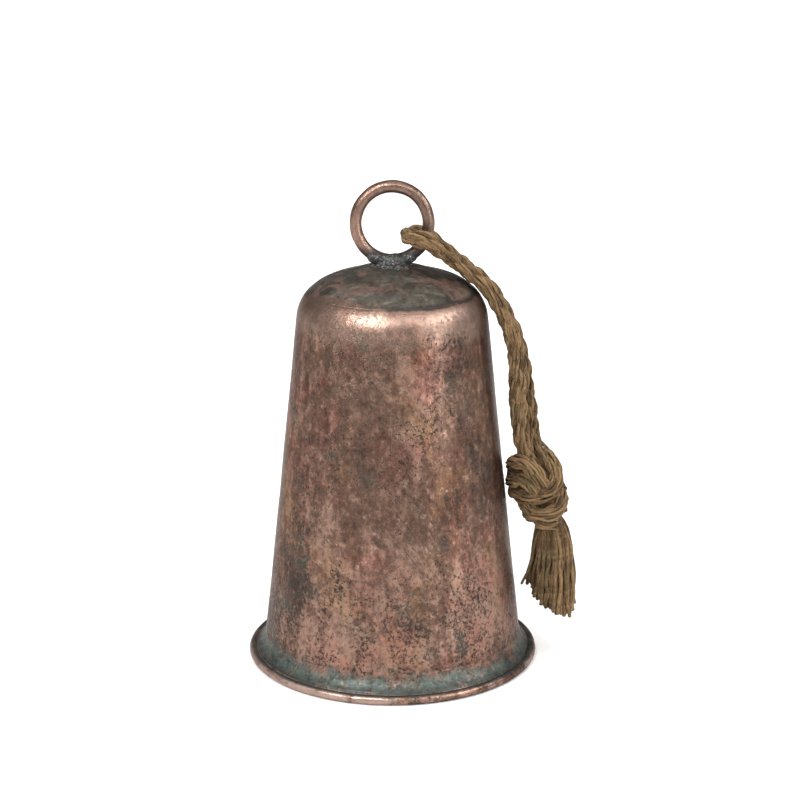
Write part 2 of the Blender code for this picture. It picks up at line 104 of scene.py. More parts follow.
# The knot's turns: middle lines of the rope where it shows, in metres.
KNOT_TURNS = (
    # the right-hand rope, down the right side and across the front to the left
    ((0.0609, 0.0040, 0.1004), (0.0620, 0.0028, 0.0962), (0.0648, -0.0008, 0.0926),
     (0.0686, -0.0045, 0.0893), (0.0708, -0.0065, 0.0850), (0.0711, -0.0080, 0.0809),
     (0.0689, -0.0092, 0.0771), (0.0638, -0.0098, 0.0751), (0.0592, -0.0080, 0.0740),
     (0.0555, -0.0040, 0.0740), (0.0536, 0.0020, 0.0743)),
    # upper wrap, from behind on the left over the front and under the band
    ((0.0582, 0.0080, 0.0849), (0.0540, 0.0040, 0.0844), (0.0530, -0.0010, 0.0873),
     (0.0547, -0.0060, 0.0896), (0.0580, -0.0095, 0.0896), (0.0614, -0.0108, 0.0868),
     (0.0646, -0.0100, 0.0824), (0.0671, -0.0065, 0.0776)),
    # second wrap beside it
    ((0.0561, 0.0060, 0.0744), (0.0535, 0.0010, 0.0770), (0.0534, -0.0040, 0.0807),
     (0.0560, -0.0085, 0.0829), (0.0594, -0.0100, 0.0815), (0.0625, -0.0090, 0.0780),
     (0.0654, -0.0060, 0.0738)),
    # low wrap, from behind on the right down across the front
    ((0.0720, 0.0060, 0.0735), (0.0737, 0.0010, 0.0723), (0.0735, -0.0040, 0.0699),
     (0.0711, -0.0080, 0.0675), (0.0671, -0.0092, 0.0661), (0.0633, -0.0080, 0.0657),
     (0.0609, -0.0040, 0.0648), (0.0609, 0.0020, 0.0632)),
    # lower left, tucked under the band
    ((0.0567, 0.0010, 0.0733), (0.0577, -0.0035, 0.0716), (0.0603, -0.0060, 0.0682),
     (0.0648, -0.0055, 0.0639), (0.0685, -0.0030, 0.0598)),
    # the left-hand rope, going in under the upper wrap
    ((0.0567, -0.0042, 0.1002), (0.0574, -0.0047, 0.0960), (0.0586, -0.0055, 0.0921),
     (0.0603, -0.0058, 0.0876)),
    # collar where the tassel leaves the knot
    ((0.0640, -0.0050, 0.0623), (0.0674, -0.0060, 0.0613), (0.0719, -0.0050, 0.0619)),
    # back of the knot: two turns that close the wraps
    ((0.0571, 0.0040, 0.0850), (0.0590, 0.0088, 0.0868), (0.0640, 0.0102, 0.0842),
     (0.0690, 0.0092, 0.0800), (0.0724, 0.0054, 0.0758), (0.0738, 0.0010, 0.0738)),
    ((0.0552, 0.0030, 0.0752), (0.0574, 0.0084, 0.0768), (0.0622, 0.0102, 0.0758),
     (0.0676, 0.0092, 0.0722), (0.0712, 0.0060, 0.0684), (0.0706, 0.0020, 0.0650)),
    ((0.0640, 0.0030, 0.0900), (0.0682, 0.0052, 0.0880), (0.0706, 0.0064, 0.0836),
     (0.0696, 0.0086, 0.0792), (0.0652, 0.0098, 0.0806), (0.0604, 0.0090, 0.0812)),
    ((0.0590, 0.0010, 0.0665), (0.0606, 0.0060, 0.0670), (0.0650, 0.0084, 0.0668),
     (0.0694, 0.0074, 0.0660), (0.0730, 0.0030, 0.0662), (0.0742, -0.0020, 0.0680)),
)
KNOT_CORES = (      # x, z and radius of the rope's mass behind the turns
    ((0.0618, 0.0900, 0.0050), (0.0636, 0.0830, 0.0082), (0.0648, 0.0760, 0.0088),
     (0.0668, 0.0690, 0.0080), (0.0690, 0.0600, 0.0058)),
    ((0.0582, 0.0905, 0.0035), (0.0570, 0.0870, 0.0058), (0.0566, 0.0820, 0.0064),
     (0.0582, 0.0770, 0.0060), (0.0606, 0.0735, 0.0045)),
)

# The tassel's envelope: height, middle x, half width along X and along Y.
TASSEL_SHAPE = (
    (0.0640, 0.0690, 0.0046, 0.0044),
    (0.0582, 0.0702, 0.0070, 0.0064),
    (0.0530, 0.0708, 0.0086, 0.0076),
    (0.0456, 0.0710, 0.0099, 0.0087),
    (0.0360, 0.0707, 0.0110, 0.0096),
    (0.0250, 0.0703, 0.0118, 0.0102),
    (0.0160, 0.0701, 0.0120, 0.0104),
)
TASSEL_ENDS = (     # x, and the height where the yarns there end
    (0.0590, 0.0312), (0.0618, 0.0288), (0.0650, 0.0246), (0.0690, 0.0212),
    (0.0735, 0.0190), (0.0781, 0.0166), (0.0806, 0.0190), (0.0828, 0.0245),
)
GOLDEN_ANGLE = 2.39996                      # spreads the yarns evenly over the tassel
STRAY_YARN = ((0.0655, -0.0030, 0.0600), (0.0630, -0.0048, 0.0530), (0.0616, -0.0056, 0.0460),
              (0.0600, -0.0056, 0.0392), (0.0583, -0.0052, 0.0350), (0.0572, -0.0050, 0.0326))

CAMERA_PLACE = (0.0, -0.883, 0.369)
CAMERA_TURN = (74.0, 0.0, -0.217)           # degrees about X, Y and Z
CAMERA_LENS = 95.13                         # millimetres
SURROUND_LIGHT = 1.42                       # strength of the pale surroundings as light
SURROUND_SHINE = 0.30                       # and as the metal mirrors them
LAMPS = (   # name, place, aim, width and height, watts, whether it lights dull faces too
    ("key", (-0.60, -0.85, 1.02), (0.0, 0.0, 0.12), (0.42, 0.42), 17.0, False),
    ("key_soft", (-0.60, -0.85, 1.02), (0.0, 0.0, 0.12), (0.60, 0.60), 7.0, True),
    ("band", (0.42, -0.90, 1.05), (0.0, 0.0, 0.14), (1.30, 0.22), 7.5, False),
    ("side", (1.05, -0.30, 0.85), (0.0, 0.0, 0.14), (1.00, 0.26), 9.0, False),
    ("strip", (0.95, -0.75, 0.30), (0.0, 0.0, 0.09), (0.20, 0.90), 6.5, False),
    ("top", (0.10, 0.00, 1.30), (0.0, 0.0, 0.10), (0.70, 0.70), 3.0, True),
)


# ---- Sizes and colours that can be changed -------------------
def colour(name, description, default):
    """A linear colour setting."""
    return FloatVectorProperty(name=name, description=description, default=default,
                               size=3, subtype='COLOR', min=0.0, max=1.0)


def length(name, description, default):
    """A length setting in metres."""
    return FloatProperty(name=name, description=description, default=default,
                         min=0.0, precision=5, unit='LENGTH')


class DinnerBellSizes(bpy.types.PropertyGroup):
    """Sizes of the metalwork."""

    facets: IntProperty(
        name="Facets", description="Faces round the bell", default=224, min=48, max=400)
    sheet: length("Sheet", "Thickness of the sheet metal", 0.0009)
    dents: length("Dents", "Depth of the shallow dents in the sheet", 0.0005)
    dent_spread: length("Dent spread", "Usual distance between dents", 0.028)
    ring_radius: length("Ring radius", "To the middle of the ring's rod", 0.01545)
    ring_rod: length("Ring rod", "Radius of the ring's rod", 0.00255)


class DinnerBellRope(bpy.types.PropertyGroup):
    """Sizes of the rope, its knot and its tassel."""

    radius: length("Rope radius", "Half of the rope's thickness", 0.0043)
    lay: length("Lay", "Height of one whole turn of the strands", 0.027)
    yarn_lay: length("Yarn lay", "Height of one whole turn of the yarns in a strand", 0.031)
    strand_yarns: IntProperty(
        name="Strand yarns", description="Yarns in each of the three strands", default=13,
        min=3, max=16)
    knot_yarns: IntProperty(
        name="Knot yarns", description="Yarns in each strand where it is knotted", default=9,
        min=3, max=16)
    knot_radius: length("Knot rope", "Rope's radius where it is pulled tight", 0.0041)
    tassel_yarn: length("Tassel yarn", "Radius of a loosened yarn", 0.00074)
    tassel_count: IntProperty(
        name="Tassel yarns", description="Yarns in the tassel", default=120, min=12, max=200)
    fibres: IntProperty(
        name="Loose fibres", description="Hairs that stand off the rope", default=520,
        min=0, max=1200)


class DinnerBellColours(bpy.types.PropertyGroup):
    """Colours of the finishes."""

    copper_rubbed: colour("Rubbed copper", "Places rubbed pale and bright",
                          (0.290, 0.176, 0.130))
    copper: colour("Copper", "The usual brown copper", (0.108, 0.061, 0.044))
    copper_deep: colour("Deep copper", "Darker copper between the rubbed places",
                        (0.046, 0.028, 0.021))
    tarnish: colour("Tarnish", "Grey-brown tarnish", (0.016, 0.012, 0.009))
    verdigris: colour("Verdigris", "Blue-green bloom in the rim's hollow",
                      (0.080, 0.118, 0.104))
    braze: colour("Braze", "Rough grey braze", (0.050, 0.053, 0.050))
    iron: colour("Iron", "Blackened iron of the clapper", (0.045, 0.040, 0.037))
    jute: colour("Jute", "Pale side of the jute", (0.285, 0.174, 0.082))
    jute_shade: colour("Jute shade", "Deep tone between the fibres", (0.075, 0.043, 0.018))


# ---- Finishes ------------------------------------------------
class Finish:
    """A material whose nodes are added one at a time."""

    def __init__(self, name):
        self.material = bpy.data.materials.new(name)
        self.material.use_nodes = True
        self.tree = self.material.node_tree
        self.shader = self.tree.nodes["Principled BSDF"]
        places = self.tree.nodes.new("ShaderNodeTexCoord")
        self.place = places.outputs["Object"]
        self.along = places.outputs["UV"]
        parts = self.add("ShaderNodeSeparateXYZ", {0: self.place})
        self.x, self.y, self.z = parts.outputs

    def add(self, kind, feeds=None, **settings):
        """Add a node, set it up and feed its sockets."""
        node = self.tree.nodes.new(kind)
        for key, value in settings.items():
            setattr(node, key, value)
        for key, value in (feeds or {}).items():
            self.feed(node.inputs[key], value)
        return node

    def feed(self, socket, value):
        """Link a socket, or set its constant."""
        if isinstance(value, bpy.types.NodeSocket):
            self.tree.links.new(value, socket)
        elif socket.type == 'RGBA':
            socket.default_value = (*value[:3], 1.0)
        else:
            socket.default_value = value

    def grain(self, scale, detail=2.0, rough=0.5, stretch=(1, 1, 1), turn=None,
              shift=0.0, warp=0.0, on=None):
        """Noise over the piece: turned first, then stretched."""
        vector = self.place if on is None else on
        if turn is not None:
            vector = self.add("ShaderNodeMapping", {"Vector": vector, "Rotation": turn})
            vector = vector.outputs[0]
        mapping = self.add("ShaderNodeMapping", {
            "Vector": vector, "Scale": stretch, "Location": (shift, shift, shift)})
        pattern = self.add("ShaderNodeTexNoise", {
            "Vector": mapping.outputs[0], "Scale": scale, "Detail": detail,
            "Roughness": rough, "Distortion": warp})
        return pattern.outputs["Fac"]

    def rise(self, value, low, high, top=1.0, bottom=0.0):
        """Smooth change from bottom at low to top at high."""
        return self.add("ShaderNodeMapRange", {
            "Value": value, "From Min": low, "From Max": high, "To Min": bottom,
            "To Max": top}, interpolation_type='SMOOTHSTEP').outputs["Result"]

    def fall(self, value, low, high, top=1.0):
        """Smooth fall from top at low to 0 at high."""
        return self.rise(value, low, high, 0.0, top)

    def maths(self, operation, first, second=0.0):
        """One sum."""
        return self.add("ShaderNodeMath", {0: first, 1: second}, operation=operation).outputs[0]

    def times(self, *values):
        """Product of several values."""
        result = values[0]
        for value in values[1:]:
            result = self.maths('MULTIPLY', result, value)
        return result

    def plus(self, *values):
        """Sum of several values, where a pair is a value and its weight."""
        values = [self.times(*value) if isinstance(value, tuple) else value for value in values]
        result = values[0]
        for value in values[1:]:
            result = self.maths('ADD', result, value)
        return result

    def over(self, share, under, top, mode='MIX'):
        """Lay one colour over another."""
        return self.add("ShaderNodeMix", {0: share, 6: under, 7: top},
                        data_type='RGBA', blend_type=mode).outputs[2]

    def relief(self, height, depth, distance=0.001, before=None):
        """Bump from a height pattern."""
        feeds = {"Height": height, "Strength": depth, "Distance": distance}
        if before is not None:
            feeds["Normal"] = before
        return self.add("ShaderNodeBump", feeds).outputs["Normal"]

    def done(self, **links):
        """Set or feed the shader's sockets and give the material."""
        for key, value in links.items():
            self.feed(self.shader.inputs[key.replace("_", " ").title()], value)
        return self.material


def scratches(finish, turn, scale, width, shift):
    """Thin broken lines that run one way across the sheet."""
    line = finish.grain(scale, 2.0, 0.5, (1.0, 1.0, 0.025), turn, shift)
    off = finish.maths('ABSOLUTE', finish.maths('SUBTRACT', line, 0.5))
    thin = finish.fall(off, 0.0, width)
    broken = finish.rise(finish.grain(38.0, 1.0, 0.5, shift=shift + 3.1), 0.56, 0.64)
    return finish.times(thin, broken)


def aged_copper(name, colours, crown=False, hollow=False, rod=False):
    """Copper wash over steel: mottled, brushed, speckled black, rubbed pale in places, and painted
    lighter towards the bottom to stand in for the floor's reflection.

    With crown, heat has darkened it above the shoulder; with hollow, it has bloomed
    blue-green where water stands above the rim; with rod, it is the ring's, cleaner but
    blackened towards its foot.
    """
    f = Finish(name)
    # low is 1 at the rim and fades out 90 mm up: it lightens the tone (painted reflection of the pale
    # floor), crowds the dark specks and thins the dark patches.
    low = f.fall(f.z, 0.004, 0.090)
    broad = f.grain(17.0, 2.0, 0.5, (1.0, 1.0, 0.5), shift=5.3)
    mottle = f.grain(68.0, 8.0, 0.72, (1.0, 1.0, 0.8), warp=0.4)
    fine = f.grain(300.0, 6.0, 0.80, shift=4.4)
    upright = f.grain(210.0, 5.0, 0.66, (1.0, 1.0, 0.09), shift=8.1)
    brushed = f.grain(300.0, 5.0, 0.74, (1.0, 1.0, 0.20), (0.0, 0.62, 0.0), 1.7)
    crossed = f.grain(280.0, 5.0, 0.74, (1.0, 1.0, 0.20), (0.0, -0.5, 0.5), 2.9)
    speckle = f.grain(720.0, 5.0, 0.82, shift=2.2)
    clouds = f.grain(50.0, 9.0, 0.78, (1.0, 1.0, 0.75), shift=9.1, warp=0.5)

    # The (low, 0.22) term paints the copper lighter towards the bottom: a painted reflection of the
    # floor.
    tone = f.plus((broad, 0.80), (mottle, 0.50), (fine, 0.80),
                  (upright, 0.45), (brushed, 0.45), (low, 0.22), -1.015)
    base = f.over(f.rise(tone, 0.34, 0.52), colours.copper_deep, colours.copper)
    base = f.over(f.rise(tone, 0.50, 0.78), base, colours.copper_rubbed)
    ruddy = f.rise(f.grain(44.0, 6.0, 0.66, shift=12.0), 0.48, 0.62)
    base = f.over(f.times(ruddy, 0.85), base, (1.08, 0.88, 0.90), 'MULTIPLY')
    tanned = f.rise(f.grain(38.0, 6.0, 0.66, (1.0, 1.0, 0.6), shift=21.0), 0.50, 0.63)
    base = f.over(f.times(tanned, 0.80), base, (1.08, 1.04, 0.84), 'MULTIPLY')
    scuffed = f.rise(f.plus((fine, 0.55), (crossed, 0.45)), 0.55, 0.66)
    base = f.over(f.times(scuffed, 0.50), base, (0.420, 0.300, 0.245))
    # Pale band round the shoulder: partly rubbed copper, partly a painted highlight.
    shoulder = f.times(f.rise(f.z, 0.146, 0.157), f.grain(45.0, 5.0, 0.7, shift=17.0))
    base = f.over(f.times(shoulder, 0.95), base, (0.380, 0.262, 0.210))

    crowd = f.plus((clouds, 0.65), (low, 0.040))
    dots = f.rise(f.plus(speckle, crowd), 0.865, 0.935, 0.92)
    marks = f.rise(f.plus(f.maths('MAXIMUM', brushed, crossed), crowd), 0.965, 1.045, 0.88)
    patch = f.rise(f.plus(clouds, (fine, 0.45), (low, -0.04)), 0.775, 0.900, 0.72)
    lines = f.plus(scratches(f, (0.0, 0.65, 0.0), 170.0, 0.006, 0.3),
                   scratches(f, (0.0, -0.5, 0.3), 150.0, 0.005, 2.9))
    stain = f.maths('MAXIMUM', dots, f.maths('MAXIMUM', marks, patch))
    stain = f.maths('MAXIMUM', stain, f.times(lines, 0.7))
    if crown:
        stain = f.times(stain, f.plus(f.fall(f.z, 0.150, 0.157, 0.6), 0.4))
    if rod:
        stain = f.times(stain, 0.45)
        base = f.over(0.75, base, (0.78, 0.72, 0.68), 'MULTIPLY')
    green = f.rise(f.grain(75.0, 3.0, 0.6, shift=15.0), 0.47, 0.60)
    tarnish = f.over(green, colours.tarnish, (0.034, 0.041, 0.033))
    base = f.over(stain, base, tarnish)
    cover = stain
    if rod:
        foot = f.fall(f.plus(f.z, (mottle, 0.006)), 0.1835, 0.1885)
        base = f.over(f.times(foot, 0.85), base, (0.024, 0.026, 0.024))
        cover = f.maths('MAXIMUM', cover, foot)
    if crown:
        base, cover = darkened_crown(f, base, cover)
    if hollow:
        base, cover = bloomed_hollow(f, base, cover, colours)
    shine = f.plus((cover, 0.26), (mottle, 0.20), (speckle, 0.10), 0.17)
    metal = f.plus((cover, -0.45), 0.92)
    pits = f.plus((stain, -0.5), (speckle, 0.30), (fine, 0.35))
    bump = f.relief(pits, 0.40, 0.0004)
    bump = f.relief(f.plus(mottle, upright), 0.28, 0.0010, bump)
    return f.done(base_color=base, metallic=metal, roughness=shine, normal=bump,
                  specular_tint=(0.42, 0.38, 0.36), coat_weight=0.12, coat_roughness=0.30)


def darkened_crown(f, base, cover):
    """Heat-darkened crown: grey-green and brown, with copper showing through in places.

    Its edge wanders round the seam, and the copper is rubbed up over it on the left.
    """
    cloud = f.grain(60.0, 8.0, 0.74, shift=2.5, warp=0.5)
    warm = f.grain(72.0, 7.0, 0.70, shift=6.2, warp=0.7)
    swirl = f.grain(160.0, 7.0, 0.76, (0.55, 1.0, 1.0), shift=4.1, warp=0.4)
    fine = f.grain(520.0, 5.0, 0.80)
    skin = f.over(f.rise(cloud, 0.38, 0.60), (0.030, 0.027, 0.022), (0.088, 0.080, 0.064))
    skin = f.over(f.rise(warm, 0.49, 0.58, 0.85), skin, (0.185, 0.108, 0.086))
    skin = f.over(f.rise(swirl, 0.52, 0.66, 0.60), skin, (0.230, 0.205, 0.165))
    skin = f.over(f.rise(fine, 0.52, 0.66, 0.70), skin, (0.016, 0.014, 0.012))
    skin = f.over(f.fall(fine, 0.34, 0.44, 0.45), skin, (0.170, 0.150, 0.125))
    rubbed = f.times(f.rise(f.x, -0.036, -0.026), f.fall(f.x, -0.019, -0.009),
                     f.fall(f.y, -0.012, 0.0))
    ragged = f.plus(f.grain(70.0, 5.0, 0.62, shift=8.8), -0.5)
    edge = f.plus(f.z, (rubbed, -0.0024), (f.rise(f.x, -0.034, -0.040), 0.002), (ragged, 0.0052))
    dusk = f.rise(edge, 0.1634, 0.1648)
    # Dark line along the crown's edge, on the right only: painted shade in the crease where the crown
    # meets the shoulder.
    line = f.times(f.rise(edge, 0.1632, 0.1641), f.fall(edge, 0.1645, 0.1658),
                   f.rise(f.x, -0.018, 0.004))
    base = f.over(f.times(dusk, 0.95), base, skin)
    base = f.over(f.times(line, 0.75), base, (0.024, 0.020, 0.018))
    return base, f.maths('MAXIMUM', cover, f.times(dusk, 0.75))


def bloomed_hollow(f, base, cover, colours):
    """Blue-green bloom with a ragged upper edge; its darkening against the bead is painted shade at
    the bottom of the hollow.
    """
    ragged = f.plus((f.grain(50.0, 7.0, 0.74, shift=3.3), 0.026),
                    (f.grain(420.0, 5.0, 0.78, shift=5.1), 0.010))
    left = f.times(f.fall(f.x, -0.030, -0.005), -0.0030)
    climb = f.plus(f.z, ragged, left)
    bloom = f.fall(climb, 0.0231, 0.0290)
    thin = f.rise(f.grain(190.0, 6.0, 0.76, shift=6.4), 0.34, 0.50)
    outside = f.rise(f.z, 0.0031, 0.0040)
    share = f.times(bloom, outside, f.plus((thin, 0.50), 0.42))
    tint = f.over(f.rise(f.grain(260.0, 6.0, 0.78, shift=1.1), 0.38, 0.58),
                  (0.030, 0.040, 0.037), colours.verdigris)
    tint = f.over(f.rise(f.grain(700.0, 3.0, 0.7, shift=7.1), 0.54, 0.68, 0.50), tint,
                  (0.190, 0.225, 0.195))
    # Near-black at the bottom of the hollow, against the bead: painted shade over the bloom.
    tint = f.over(f.fall(f.z, 0.0030, 0.0078, 0.85), tint, (0.016, 0.025, 0.024))
    worn = f.plus(f.grain(130.0, 5.0, 0.7), (f.fall(f.x, -0.04, 0.02), 0.12))
    bead = f.times(f.fall(f.z, 0.0034, 0.0042), f.rise(worn, 0.46, 0.60))
    base = f.over(f.times(bead, 0.75), base, (0.420, 0.300, 0.255))
    return f.over(share, base, tint), f.maths('MAXIMUM', cover, share)


def rough_braze(name, colours):
    """Spattered grey braze with pale grit and green and black pockets."""
    f = Finish(name)
    grit = f.grain(1300.0, 4.0, 0.78)
    lump = f.grain(420.0, 5.0, 0.74, shift=3.0)
    green = f.grain(380.0, 4.0, 0.7, shift=5.0)
    base = f.over(f.rise(lump, 0.40, 0.60), (0.012, 0.012, 0.012), colours.braze)
    base = f.over(f.rise(green, 0.54, 0.64, 0.6), base, (0.045, 0.100, 0.092))
    base = f.over(f.rise(f.grain(260.0, 4.0, 0.7, shift=9.0), 0.56, 0.66, 0.5), base,
                  (0.150, 0.075, 0.060))
    base = f.over(f.rise(grit, 0.56, 0.66, 0.80), base, (0.46, 0.45, 0.42))
    shine = f.plus((lump, 0.3), 0.38)
    bump = f.relief(f.plus(grit, lump), 0.6, 0.0004)
    return f.done(base_color=base, metallic=0.45, roughness=shine, normal=bump)


def blackened_iron(name, colours):
    """Oiled black iron with a little rust."""
    f = Finish(name)
    scale = f.grain(240.0, 5.0, 0.65)
    rust = f.grain(120.0, 6.0, 0.7, shift=3.0)
    fine = f.grain(1200.0, 2.0, 0.5)
    base = f.over(f.rise(scale, 0.4, 0.65), colours.iron, (0.095, 0.085, 0.078))
    base = f.over(f.rise(rust, 0.56, 0.68, 0.6), base, (0.13, 0.055, 0.025))
    shine = f.plus((scale, 0.3), (fine, 0.15), 0.28)
    bump = f.relief(f.plus(scale, (fine, 0.4)), 0.4, 0.0006)
    return f.done(base_color=base, metallic=0.8, roughness=shine, normal=bump)


def dull_lining(name, colours):
    """Inside of the sheet: dark steel with thin brown copper wash and soot."""
    f = Finish(name)
    cloud = f.grain(40.0, 7.0, 0.7, (1.0, 1.0, 0.6))
    wash = f.grain(90.0, 6.0, 0.7, (1.0, 1.0, 0.25), shift=4.0)
    fine = f.grain(800.0, 4.0, 0.7, shift=2.0)
    base = f.over(f.rise(cloud, 0.40, 0.60), (0.030, 0.026, 0.023), (0.070, 0.055, 0.046))
    base = f.over(f.rise(wash, 0.52, 0.66, 0.6), base, colours.copper)
    base = f.over(f.rise(fine, 0.58, 0.70, 0.6), base, (0.016, 0.015, 0.014))
    shine = f.plus((cloud, 0.25), (fine, 0.15), 0.36)
    bump = f.relief(f.plus(wash, (fine, 0.5)), 0.35, 0.0006)
    return f.done(base_color=base, metallic=0.7, roughness=shine, normal=bump)


def jute_fibre(name, colours):
    """Jute: each yarn a little different, with twisted fibres along it, and painted highlights and
    shade on the fibres.
    """
    f = Finish(name)
    tone = f.add("ShaderNodeAttribute", attribute_name="tone").outputs["Fac"]
    fibres = f.grain(1.0, 4.0, 0.7, (5.0, 2.2, 1.0), (0.0, 0.0, 0.30), on=f.along)
    hairs = f.grain(1.0, 3.0, 0.7, (12.0, 5.0, 1.0), (0.0, 0.0, 0.38), shift=3.0, on=f.along)
    shaded_gaps = f.grain(1.0, 4.0, 0.7, (4.0, 6.0, 1.0), (0.0, 0.0, -0.25), shift=8.0, on=f.along)
    blotch = f.grain(150.0, 6.0, 0.7)
    moss = f.grain(95.0, 4.0, 0.65, shift=5.0)
    mix = f.plus((fibres, 0.55), (tone, 0.45), (blotch, 0.55))
    base = f.over(f.rise(mix, 0.50, 0.95), colours.jute_shade, colours.jute)
    # Pale streaks along the fibres: painted highlights.
    base = f.over(f.rise(hairs, 0.54, 0.66, 0.50), base, (0.470, 0.330, 0.180))
    # Dark streaks and short dashes between the fibres: painted shade.
    base = f.over(f.fall(hairs, 0.34, 0.46, 0.60), base, (0.080, 0.045, 0.019))
    base = f.over(f.rise(shaded_gaps, 0.57, 0.66, 0.80), base, (0.034, 0.019, 0.010))
    base = f.over(f.rise(moss, 0.54, 0.68, 0.35), base, (0.190, 0.160, 0.070))
    bump = f.relief(f.plus(fibres, (hairs, 0.8), (shaded_gaps, -0.8)), 1.0, 0.0006)
    f.shader.inputs["Specular IOR Level"].default_value = 0.10
    return f.done(base_color=base, roughness=0.92, normal=bump, sheen_weight=0.06,
                  sheen_roughness=0.55)


def pale_floor(name):
    """Plain pale ground."""
    f = Finish(name)
    soft = f.grain(9.0, 3.0, 0.5)
    base = f.over(soft, (0.95, 0.95, 0.95), (0.97, 0.97, 0.97))
    f.shader.inputs["Specular IOR Level"].default_value = 0.05
    return f.done(base_color=base, roughness=0.95)


# ---- Ways of making metal pieces -----------------------------
def settings(context):
    """The sizes of the metalwork and the colours of the finishes."""
    return context.scene.dinner_bell_sizes, context.scene.dinner_bell_colours


def nothing_selected():
    """Leave no object selected, so that an operator acts only on the new piece."""
    bpy.ops.object.select_all(action='DESELECT')


def name_new(name):
    """Name the newest object and put its place into its mesh."""
    piece = bpy.context.object
    piece.name = name
    piece.data.name = name
    bpy.ops.object.transform_apply(location=True, rotation=True, scale=True)
    return piece


def apply_modifier(piece, kind, **settings):
    """Add a modifier, set it up and apply it."""
    bpy.context.view_layer.objects.active = piece
    modifier = piece.modifiers.new(kind.lower(), kind)
    for key, value in settings.items():
        setattr(modifier, key, value)
    bpy.ops.object.modifier_apply(modifier=modifier.name)


def unevenness(name, kind, spread):
    """A pattern for shallow dents or lumps."""
    texture = bpy.data.textures.new(name, kind)
    texture.noise_scale = spread
    return texture


def turned(name, profile, facets):
    """Raise a ring of edges level by level along a profile of (radius, height)."""
    nothing_selected()
    radius, height = profile[0]
    bpy.ops.mesh.primitive_circle_add(
        vertices=facets, radius=radius, fill_type='NOTHING', location=(0.0, 0.0, height))
    piece = name_new(name)
    bpy.ops.object.mode_set(mode='EDIT')
    bpy.ops.mesh.select_all(action='SELECT')
    for (near, low), (far, high) in zip(profile, profile[1:]):
        bpy.ops.mesh.extrude_region_move(TRANSFORM_OT_translate={"value": (0.0, 0.0, high - low)})
        grow = far / near
        bpy.ops.transform.resize(value=(grow, grow, 1.0), center_override=(0.0, 0.0, high))
    if profile[-1][0] < CLOSED_RADIUS:
        bpy.ops.mesh.merge(type='CENTER')
    bpy.ops.mesh.select_all(action='SELECT')
    bpy.ops.mesh.normals_make_consistent(inside=False)
    bpy.ops.object.mode_set(mode='OBJECT')
    return piece


def sheet_piece(piece, sizes, skin, lining):
    """Dent a turned skin a little and give it its thickness, soft edges and finishes."""
    piece.data.materials.append(skin)
    piece.data.materials.append(lining)
    apply_modifier(piece, 'DISPLACE', strength=sizes.dents, mid_level=CLOUD_MIDDLE,
                   texture=unevenness(piece.name + "_dents", 'CLOUDS', sizes.dent_spread))
    apply_modifier(piece, 'SOLIDIFY', thickness=sizes.sheet, offset=-1.0, material_offset=1)
    apply_modifier(piece, 'BEVEL', width=0.0001, segments=2, limit_method='ANGLE',
                   angle_limit=math.radians(50.0))
    piece.data.shade_smooth()
    return piece


def arc(middle, bend, start, end, count):
    """Points (radius, height) round an arc, both ends included."""
    points = []
    for i in range(count):
        angle = start + (end - start) * i / (count - 1)
        points.append((middle[0] + bend * math.cos(angle), middle[1] + bend * math.sin(angle)))
    return points


def smooth_through(points, steps):
    """A smooth curve through points of any number of values, in steps to each stretch."""
    def value(before, start, end, after, t):
        return 0.5 * (2 * start + (end - before) * t
                      + (2 * before - 5 * start + 4 * end - after) * t ** 2
                      + (3 * start - before - 3 * end + after) * t ** 3)

    padded = [points[0], *points, points[-1]]
    curve = []
    for i in range(len(points) - 1):
        four = padded[i:i + 4]
        for step in range(steps):
            curve.append([value(*column, step / steps) for column in zip(*four)])
    curve.append(list(points[-1]))
    return curve


def wear(piece, material, body, slot, *nodes):
    """Give a piece its finish, the body it rides on and the CAD nodes it stands for."""
    if not piece.data.materials:
        piece.data.materials.append(material)
    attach(piece, body)
    if nodes:
        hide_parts(*nodes)


def recoat(name, finish):
    """Give a CAD node its finish."""
    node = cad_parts[name]
    node.data.materials.clear()
    node.data.materials.append(finish)


